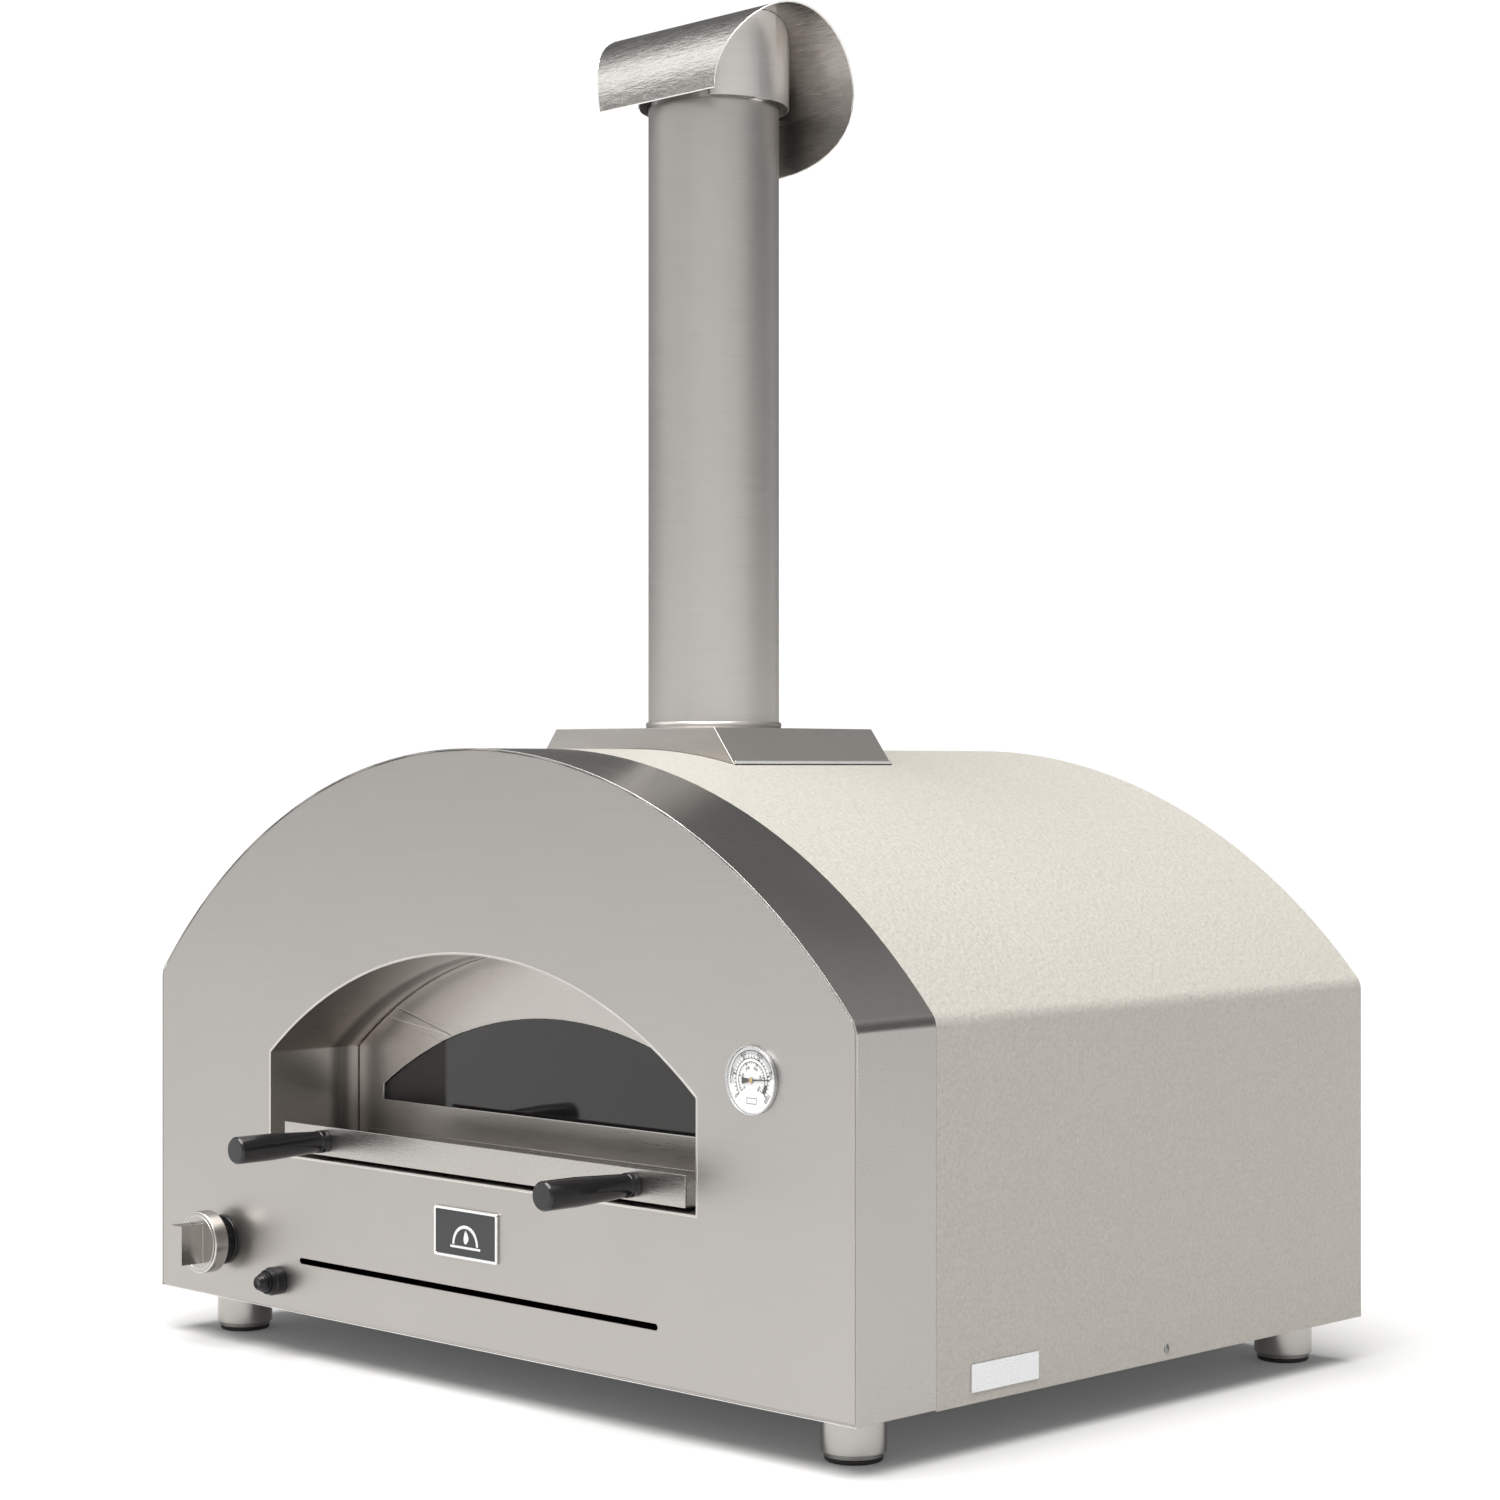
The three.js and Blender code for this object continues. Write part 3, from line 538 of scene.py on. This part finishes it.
def bead(
    name,
    line,
    radius,
    closed=True,
    flat=(0, 1, 0),
    body="oven",
    slot="brushed_steel_face",
    look="edge_steel",
):
    """A thin round edge that follows points: the bright line of a folded sheet edge, whose default look is
    steel lightened into a painted highlight.

    flat is across the line: one direction for them all, or a list with one for each point.
    """
    points = [Vector(point) for point in line]
    facing = [Vector(f) for f in flat] if isinstance(flat, list) else [Vector(flat)] * len(points)

    def build(bm):
        rings = []
        count = len(points)
        for i, point in enumerate(points):
            before = points[i - 1] if closed or i else point
            after = points[(i + 1) % count] if closed or i + 1 < count else point
            across = facing[i].cross((after - before).normalized())
            ring = []
            for k in range(BEAD_SIDES):
                turn = 2 * math.pi * k / BEAD_SIDES
                out = across * math.cos(turn) + facing[i] * math.sin(turn)
                ring.append(bm.verts.new(point + radius * out))
            rings.append(ring)
        pairs = list(zip(rings, rings[1:])) + ([(rings[-1], rings[0])] if closed else [])
        for here, there in pairs:
            for k in range(BEAD_SIDES):
                j = (k + 1) % BEAD_SIDES
                bm.faces.new((here[k], here[j], there[j], there[k]))
        if not closed:
            bm.faces.new(rings[0][::-1])
            bm.faces.new(rings[-1])

    return make_piece(name, look, body, build)


# Folded edges that catch the light, lit further by a painted highlight in their lightened steel: the mouth,
# the case and the door's window, then the cap and the knob.
EDGE = 0.6 * MM
BEAD_SIDES = 8
MOUTH_HALF_WIDTH, MOUTH_BOTTOM, MOUTH_TOP = 0.356, 0.227, 0.4765
WINDOW_HALF_WIDTH, WINDOW_BOTTOM, WINDOW_TOP = 0.3055, 0.2845, 0.3975
CASE_MIDDLE_Z = 0.35
CASE_INSET = 0.0009  # share of x by which the edge is drawn in
panel_low, panel_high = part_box("front_panel")
mouth_line = outline_of(
    "front_panel", lambda x, z: abs(x) < MOUTH_HALF_WIDTH and MOUTH_BOTTOM < z < MOUTH_TOP
)
bead("edge_mouth", [(x, panel_low.y + EDGE, z) for x, z in mouth_line], EDGE)
case_line = outermost(outline_of("hood_band", lambda x, z: True), CASE_MIDDLE_Z)
case_inset = [(x * (1 - CASE_INSET), panel_low.y + EDGE, z - 0.4 * MM) for x, z in case_line]
bead("edge_case", case_inset, EDGE, closed=False, slot="brushed_steel_band")
door_low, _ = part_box("door_panel")
window_line = outline_of(
    "door_panel", lambda x, z: abs(x) < WINDOW_HALF_WIDTH and WINDOW_BOTTOM < z < WINDOW_TOP
)
bead("edge_window", [(x, door_low.y + 0.4 * MM, z) for x, z in window_line], EDGE, body="door")


def hood_rim():
    """Points round the edge of the rain cap's sheet, and the direction out of the sheet at each.

    They run down the right side from the front lip to the flap's foot, then back up the left.
    """
    joint = next(j for j in frame["record"]["behaviour"]["joints"] if j["name"] == "cap_turn")
    _, axis_y, axis_z = joint["pos_m"]
    _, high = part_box("cap_hood")
    radius = high.y - axis_y
    sheet = 1.5 * MM
    close = 0.1 * MM
    places = {tuple(round(c, 6) for c in v.co) for v in nodes["cap_hood"].data.vertices}
    right = []
    for x, y, z in places:
        on_roll = abs(math.hypot(y - axis_y, z - axis_z) - radius) < close
        on_flap = z < axis_z and high.y - y < close
        if x <= 0 or not (on_roll or on_flap):
            continue
        if z < axis_z and y > axis_y:
            order, out = math.pi + (axis_z - z), Vector((0, 1, 0))
        else:
            order = math.atan2(z - axis_z, axis_y - y)
            out = Vector((0, y - axis_y, z - axis_z)).normalized()
        right.append((order, Vector((x, y, z)) - out * sheet / 2, out))
    right.sort(key=lambda item: item[0])
    flip = Vector((-1, 1, 1))
    points = [point for _, point, _ in right] + [point * flip for _, point, _ in reversed(right)]
    return points, [out for _, _, out in right] + [out for _, _, out in reversed(right)]


rim_points, rim_facing = hood_rim()
bead("edge_cap", rim_points, 0.8 * MM, flat=rim_facing, body="rain_cap")


def circle(cx, cz, y, radius, steps=48):
    """Points round a circle that faces the front."""
    angles = [2 * math.pi * k / steps for k in range(steps)]
    return [(cx + radius * math.cos(a), y, cz + radius * math.sin(a)) for a in angles]


knob_low, knob_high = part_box("control_knob")
KNOB_X = (knob_low.x + knob_high.x) / 2
KNOB_Z = (knob_low.z + knob_high.z) / 2
KNOB_RADIUS = (knob_high.x - knob_low.x) / 2
GRIP_PROUD = 30 * MM  # how far the grip bar stands out of the knob's face
KNOB_FACE_Y = knob_low.y + GRIP_PROUD
knob_rim = circle(KNOB_X, KNOB_Z, KNOB_FACE_Y + 0.6 * MM, KNOB_RADIUS - 0.9 * MM)
knob_groove = circle(KNOB_X, KNOB_Z, KNOB_FACE_Y, KNOB_RADIUS - 5.0 * MM)
bead("edge_knob", knob_rim, 0.5 * MM, body="knob")
bead("edge_knob_face", knob_groove, 0.3 * MM, body="knob")

# Hems along the foot of the chimney's base, and the front panel's lower hem, which closes its seam.
base_low, base_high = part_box("chimney_base")
HEM_HEIGHT = 3.4 * MM
HEM_THICK = 1.4 * MM


def side_hem(sign):
    """Builds the hem on the right (sign 1) or the left (sign -1)."""

    def build(bm):
        half_length = (base_high.y - base_low.y) / 2 - 1.5 * MM
        outline = rounded_box(0, 0, half_length, HEM_HEIGHT / 2, 0.5 * HEM_THICK, 3)
        outer = base_high.x + 0.2 * MM
        middle_y = (base_low.y + base_high.y) / 2
        middle_z = base_low.z + 0.8 * MM + HEM_HEIGHT / 2
        slab(bm, outline, 0.0, HEM_THICK)
        for vert in bm.verts:
            along, inward, up = vert.co
            vert.co = (sign * (outer - inward), middle_y + along, middle_z + up)

    return build


rubber = {"slot": "foot_rubber", "look": "foot_rubber"}
for side, sign in (("right", 1), ("left", -1)):
    # the hems' steel is lightened into a painted highlight
    make_piece("base_hem_" + side, "edge_steel", "oven", side_hem(sign), 0.3 * MM)
    # under each hem, a thin black bead: a painted shadow along the line where the hem meets the paint
    shadow_line_x = sign * (base_high.x + 0.5 * MM)
    shadow_line_points = [(shadow_line_x, y, base_low.z + 0.1 * MM) for y in (base_low.y + 1 * MM, base_high.y - 1 * MM)]
    bead("base_shadow_line_" + side, shadow_line_points, 0.8 * MM, closed=False, flat=(0, 0, 1), **rubber)

PANEL_SEAM_Z = 53.7 * MM


def front_hem(bm):
    outline = rounded_box(0, PANEL_SEAM_Z, panel_high.x - 2.5 * MM, 1.1 * MM, 0.5 * MM, 3)
    slab(bm, outline, panel_low.y - 0.05 * MM, panel_low.y + 1.0 * MM)


make_piece("front_hem", "brushed_steel_face", "oven", front_hem)

# Igniter button: a stepped cap with a groove and a dished tip, in place of the plain one.
button_low, button_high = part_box("igniter_button")


def stepped_button(bm):
    centre = ((button_low.x + button_high.x) / 2, button_high.y, (button_low.z + button_high.z) / 2)
    steps = [  # millimetres along the axis and out from it
        (0.0, 0.0), (0.0, 11.7), (7.2, 11.7), (7.9, 11.0),  # collar
        (7.9, 8.6), (9.6, 8.6),  # groove
        (9.6, 9.8), (10.1, 10.3), (12.6, 10.3), (13.1, 9.8),  # ring
        (13.1, 8.3), (17.4, 7.9), (19.0, 6.3), (19.0, 5.2), (18.2, 4.6), (18.2, 0.0),  # dished tip
    ]
    turned(bm, [(along * MM, radius * MM) for along, radius in steps], centre, (0, -1, 0), 40)


button = make_piece("igniter_cap", "black_plastic", "igniter", stepped_button)
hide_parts("igniter_button")

# Badge: a bright frame round a dark inlay, with a plain arch standing for an oven mouth.
badge_low, badge_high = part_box("front_badge")
badge_x = (badge_low.x + badge_high.x) / 2
badge_z = (badge_low.z + badge_high.z) / 2
badge_half = ((badge_high.x - badge_low.x) / 2, (badge_high.z - badge_low.z) / 2)
BADGE_RIM = 3.2 * MM
BADGE_CORNER = 3.0 * MM
SIGN_FRONT_Y = badge_low.y + 0.5 * MM
INLAY_FRONT_Y = badge_low.y + 1.0 * MM


def badge_box(inset, corner):
    """The badge's outline, drawn in by inset."""
    return rounded_box(badge_x, badge_z, badge_half[0] - inset, badge_half[1] - inset, corner)


def badge_frame(bm):
    outer = badge_box(0.0, BADGE_CORNER)
    inner = badge_box(BADGE_RIM, BADGE_CORNER / 2)
    band_between(bm, inner, outer, badge_low.y, badge_high.y)


def badge_inlay(bm):
    slab(bm, badge_box(BADGE_RIM + 0.02 * MM, BADGE_CORNER / 2), INLAY_FRONT_Y, badge_high.y)


def badge_arch(bm):
    outline = sector(badge_x, badge_z - 12 * MM, 18 * MM, 21.5 * MM, -90, 90, 32)
    slab(bm, outline, SIGN_FRONT_Y, INLAY_FRONT_Y)


def badge_hearth(bm):
    outline = rounded_box(badge_x, badge_z - 14.5 * MM, 25 * MM, 1.3 * MM, 0.6 * MM, 3)
    slab(bm, outline, SIGN_FRONT_Y, INLAY_FRONT_Y)


def badge_flame(bm):
    base = badge_z - 11 * MM
    width, height, lean = 5.2 * MM, 15 * MM, 1.5 * MM
    steps = 12
    left, right = [], []
    for k in range(steps + 1):
        t = k / steps
        half = width * math.sin(math.pi * t) ** 0.8 * (1 - 0.45 * t)
        middle = badge_x + lean * math.sin(3 * t)
        left.append((middle - half, base + height * t))
        right.append((middle + half, base + height * t))
    slab(bm, left + right[-2:0:-1], SIGN_FRONT_Y, INLAY_FRONT_Y)


frame_piece = make_piece("badge_frame", "badge", "oven", badge_frame, 0.6 * MM, 3)
inlay_piece = make_piece("badge_inlay", "badge_inlay", "oven", badge_inlay)
for build in (badge_arch, badge_hearth, badge_flame):
    make_piece(build.__name__, "badge", "oven", build, 0.12 * MM)
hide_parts("front_badge")
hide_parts("front_badge")

# Thermometer: printed scales on the dial, in closed layers of ink.
dial_low, dial_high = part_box("thermometer_dial")
DIAL_X = (dial_low.x + dial_high.x) / 2
DIAL_Z = (dial_low.z + dial_high.z) / 2
DIAL_R = (dial_high.x - dial_low.x) / 2
INK = 0.06 * MM
SCALE_START, SCALE_END = -128.0, 128.0


def printed(name, material, outlines, layer=1):
    """Flat ink on the dial: each outline is a closed line of (x, z) points. Layer 1 lies on the dial."""
    far = dial_low.y - (layer - 1) * INK

    def build(bm):
        for outline in outlines:
            slab(bm, outline, far - INK, far)

    make_piece(name, material, "oven", build)


def dial_arc(inner, outer, start, end, steps=64):
    """A sector of the dial; inner and outer are shares of its radius."""
    return sector(DIAL_X, DIAL_Z, inner * DIAL_R, outer * DIAL_R, start, end, steps)


def scale_angles(count):
    """count angles spread evenly over the scale."""
    return [SCALE_START + (SCALE_END - SCALE_START) * k / (count - 1) for k in range(count)]


def ticks(inner, outer, count, width):
    """Outlines of count ticks, each width degrees wide."""
    return [dial_arc(inner, outer, a - width / 2, a + width / 2, 1) for a in scale_angles(count)]


INNER_SCALE = (0.540, 0.562, SCALE_START, SCALE_END)
OUTER_SCALE = (0.650, 0.675, SCALE_START, SCALE_END)
printed("dial_shade", "dial_shade", [dial_arc(0.76, 0.875, -100, 75)])
printed("dial_ring_outer", "dial_grey", [dial_arc(0.880, 0.905, -100, 75)], 2)
printed("dial_rings", "dial_grey", [dial_arc(*OUTER_SCALE), dial_arc(*INNER_SCALE)], 2)
printed("dial_ticks", "dial_grey", ticks(0.675, 0.74, 27, 1.8) + ticks(0.49, 0.545, 27, 1.8), 3)
printed("dial_major_ticks", "dial_ink", ticks(0.675, 0.765, 6, 3.2) + ticks(0.46, 0.545, 6, 3.2), 4)
printed("dial_stop_sector", "dial_ink", [dial_arc(0.56, 0.655, 100, 128, 12)], 3)


def dial_plate(bm):
    """A plain empty frame on the lower part of the dial."""
    middle = DIAL_Z - 0.62 * DIAL_R
    outer = rounded_box(DIAL_X, middle, 0.21 * DIAL_R, 0.095 * DIAL_R, 0.02 * DIAL_R, 2)
    inner = rounded_box(DIAL_X, middle, 0.19 * DIAL_R, 0.075 * DIAL_R, 0.01 * DIAL_R, 2)
    band_between(bm, inner, outer, dial_low.y - INK, dial_low.y)


make_piece("dial_plate", "dial_grey", "oven", dial_plate)


def number(name, text, radius, angle, height):
    """A printed number on the dial, turned to stand on its radius."""
    curve = bpy.data.curves.new(name, "FONT")
    curve.body = text
    curve.size = height
    curve.align_x = "CENTER"
    curve.align_y = "CENTER"
    curve.extrude = INK
    curve.resolution_u = 3
    holder = bpy.data.objects.new(name + "_curve", curve)
    scene.collection.objects.link(holder)
    bpy.context.view_layer.update()
    made = bpy.data.meshes.new_from_object(holder.evaluated_get(bpy.context.evaluated_depsgraph_get()))
    bpy.data.objects.remove(holder)
    turn = math.radians(angle)
    across, up = radius * DIAL_R * math.sin(turn), radius * DIAL_R * math.cos(turn)
    place = Matrix.Translation((DIAL_X + across, dial_low.y - 2 * INK, DIAL_Z + up))
    made.transform(place @ Matrix.Rotation(turn, 4, "Y") @ Matrix.Rotation(math.pi / 2, 4, "X"))

    def build(bm):
        bm.from_mesh(made)

    make_piece(name, "dial_ink", "oven", build)
    bpy.data.meshes.remove(made)


NUMBERS_ON_SCALE = 6
for k, angle in enumerate(scale_angles(NUMBERS_ON_SCALE)):
    number(f"dial_number_outer_{k}", str(200 * k), 0.82, angle, 5.4 * MM)
    number(f"dial_number_inner_{k}", str(100 * k), 0.38, angle, 4.0 * MM)

# Brass hub cap over the needle.
pointer_low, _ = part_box("thermometer_pointer")


def hub(bm):
    height = 0.09 * MM
    foot, crown = 2.6 * MM, 1.6 * MM
    profile = [(0, 0), (0, foot), (0.04 * MM, foot), (height, crown), (height, 0)]
    turned(bm, profile, (DIAL_X, pointer_low.y, DIAL_Z), (0, -1, 0), 32)


make_piece("needle_hub_cap", "brass", "needle", hub)


def screw(name, centre, axis, radius, height, drive):
    """A pan-head screw with a cross cut in it; axis points out of the sheet."""
    rim = 0.25  # share of the height that is straight

    def build(bm):
        profile = [(0, 0), (0, radius), (rim * height, radius)]
        steps = 6
        for k in range(1, steps):
            angle = math.radians(90 * k / steps)
            along = height * (rim + (1 - rim) * math.sin(angle))
            profile.append((along, radius * math.cos(angle) ** 0.6))
        turned(bm, profile + [(height, 0)], centre, axis, 24)

    piece = make_piece(name, "screw_steel", "oven", build)
    cutter_mesh = bpy.data.meshes.new(name + "_cut")
    bm = bmesh.new()
    turn = Vector((0, 0, 1)).rotation_difference(Vector(axis)).to_matrix()
    narrow = 0.28 * drive
    for long, wide in ((drive, narrow), (narrow, drive)):
        corners = []
        for z in (0.55 * height, 1.4 * height):
            for x, y in ((-1, -1), (1, -1), (1, 1), (-1, 1)):
                corners.append(bm.verts.new(Vector(centre) + turn @ Vector((x * long, y * wide, z))))
        low, high = corners[:4], corners[4:]
        bm.faces.new(low[::-1])
        bm.faces.new(high)
        for i in range(4):
            j = (i + 1) % 4
            bm.faces.new((low[i], low[j], high[j], high[i]))
    bm.to_mesh(cutter_mesh)
    bm.free()
    cutter = bpy.data.objects.new(name + "_cut", cutter_mesh)
    scene.collection.objects.link(cutter)
    cut = piece.modifiers.new("drive", "BOOLEAN")
    cut.operation = "DIFFERENCE"
    cut.solver = "EXACT"
    cut.use_self = True
    cut.object = cutter
    piece.modifiers.move(len(piece.modifiers) - 1, 0)
    dg = bpy.context.evaluated_depsgraph_get()
    done = bpy.data.meshes.new_from_object(piece.evaluated_get(dg))
    piece.modifiers.clear()
    piece.data = done
    bpy.data.objects.remove(cutter)


shell_low, shell_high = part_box("body_shell")
SIDE_SCREW_Y = 479 * MM - CASE_HALF_DEPTH
SIDE_SCREW_Z = 63 * MM
for side, sign, x in (("right", 1, shell_high.x), ("left", -1, shell_low.x)):
    centre = (x, SIDE_SCREW_Y, SIDE_SCREW_Z)
    screw("side_screw_" + side, centre, (sign, 0, 0), radius=4.2 * MM, height=2.0 * MM, drive=2.0 * MM)

# ---------------------------------------------------------------- studio


def studio_world(level, warm, lobes):
    """An even pale surround. Each lobe brightens or dims part of it.

    A lobe is (direction, inner degrees, outer degrees, factor).
    """
    world = bpy.data.worlds.new("studio")
    scene.world = world
    world.use_nodes = True
    tree = Tree(world.node_tree)
    toward = tree.add("ShaderNodeTexCoord").outputs["Generated"]
    strength = None
    for direction, inner, outer, factor in lobes:
        dot = tree.add("ShaderNodeVectorMath", {"operation": "DOT_PRODUCT"})
        tree.give(dot.inputs[0], toward)
        dot.inputs[1].default_value = Vector(direction).normalized()
        lobe = tree.remap(
            dot.outputs["Value"],
            math.cos(math.radians(outer)),
            math.cos(math.radians(inner)),
            1.0,
            factor,
            smooth=True,
        )
        strength = lobe if strength is None else tree.math("MULTIPLY", strength, lobe)
    surround = tree.add("ShaderNodeBackground", Color=rgba(warm))
    tree.give(surround.inputs["Strength"], tree.math("MULTIPLY", strength, level))
    backdrop = tree.add("ShaderNodeBackground", Color=(1, 1, 1, 1), Strength=BACKDROP_STRENGTH)
    seen = tree.add("ShaderNodeLightPath").outputs["Is Camera Ray"]
    mixed = tree.add("ShaderNodeMixShader")
    tree.give(mixed.inputs[0], seen)
    tree.give(mixed.inputs[1], surround.outputs["Background"])
    tree.give(mixed.inputs[2], backdrop.outputs["Background"])
    output = tree.add("ShaderNodeOutputWorld")
    tree.tree.links.new(mixed.outputs["Shader"], output.inputs["Surface"])


def sun_light(name, toward, angle, strength, colour):
    """A broad soft light from far away; toward points from the oven to it."""
    light = bpy.data.lights.new(name, "SUN")
    light.angle = math.radians(angle)
    light.energy = strength
    light.color = colour
    obj = bpy.data.objects.new(name, light)
    obj.rotation_euler = Vector(toward).to_track_quat("Z", "Y").to_euler()
    scene.collection.objects.link(obj)


BACKDROP_STRENGTH = 1.05
studio_world(
    level=0.52,
    warm=(1.0, 0.995, 0.985),
    lobes=[
        ((-0.55, 0.72, 0.42), 24, 54, 0.30),  # behind on the left
        ((0.68, 0.73, 0.05), 14, 40, 0.32),  # behind on the right
        ((-1.0, 0.10, 0.0), 15, 50, 0.60),  # left
        ((-0.69, -0.45, 0.56), 8, 22, 3.9),  # a bright panel high at the front left
        ((0.72, -0.69, 0.05), 12, 50, 1.15),  # towards the camera
    ],
)
sun_light("overhead", (0.05, -0.25, 1.0), angle=55.0, strength=5.55, colour=(1.0, 0.992, 0.975))

FLOOR_HALF = 60.0
floor_corners = [(FLOOR_HALF * x, FLOOR_HALF * y, 0) for x, y in ((-1, -1), (1, -1), (1, 1), (-1, 1))]
floor_mesh = bpy.data.meshes.new("floor")
floor_mesh.from_pydata(floor_corners, [], [(0, 1, 2, 3)])
floor = bpy.data.objects.new("floor", floor_mesh)
scene.collection.objects.link(floor)
floor_material, floor_tree, floor_shader, floor_place = new_material("floor")
paper = floor_tree.noise(floor_place, 60.0, 3.0)
paper_colour = floor_tree.blend(paper, rgba((0.535,) * 3), rgba((0.555,) * 3))
floor_tree.give(floor_shader.inputs["Base Color"], paper_colour)
floor_shader.inputs["Roughness"].default_value = 0.9
floor_shader.inputs["Emission Color"].default_value = (1, 1, 1, 1)
floor_shader.inputs["Emission Strength"].default_value = 0.06
floor_mesh.materials.append(floor_material)
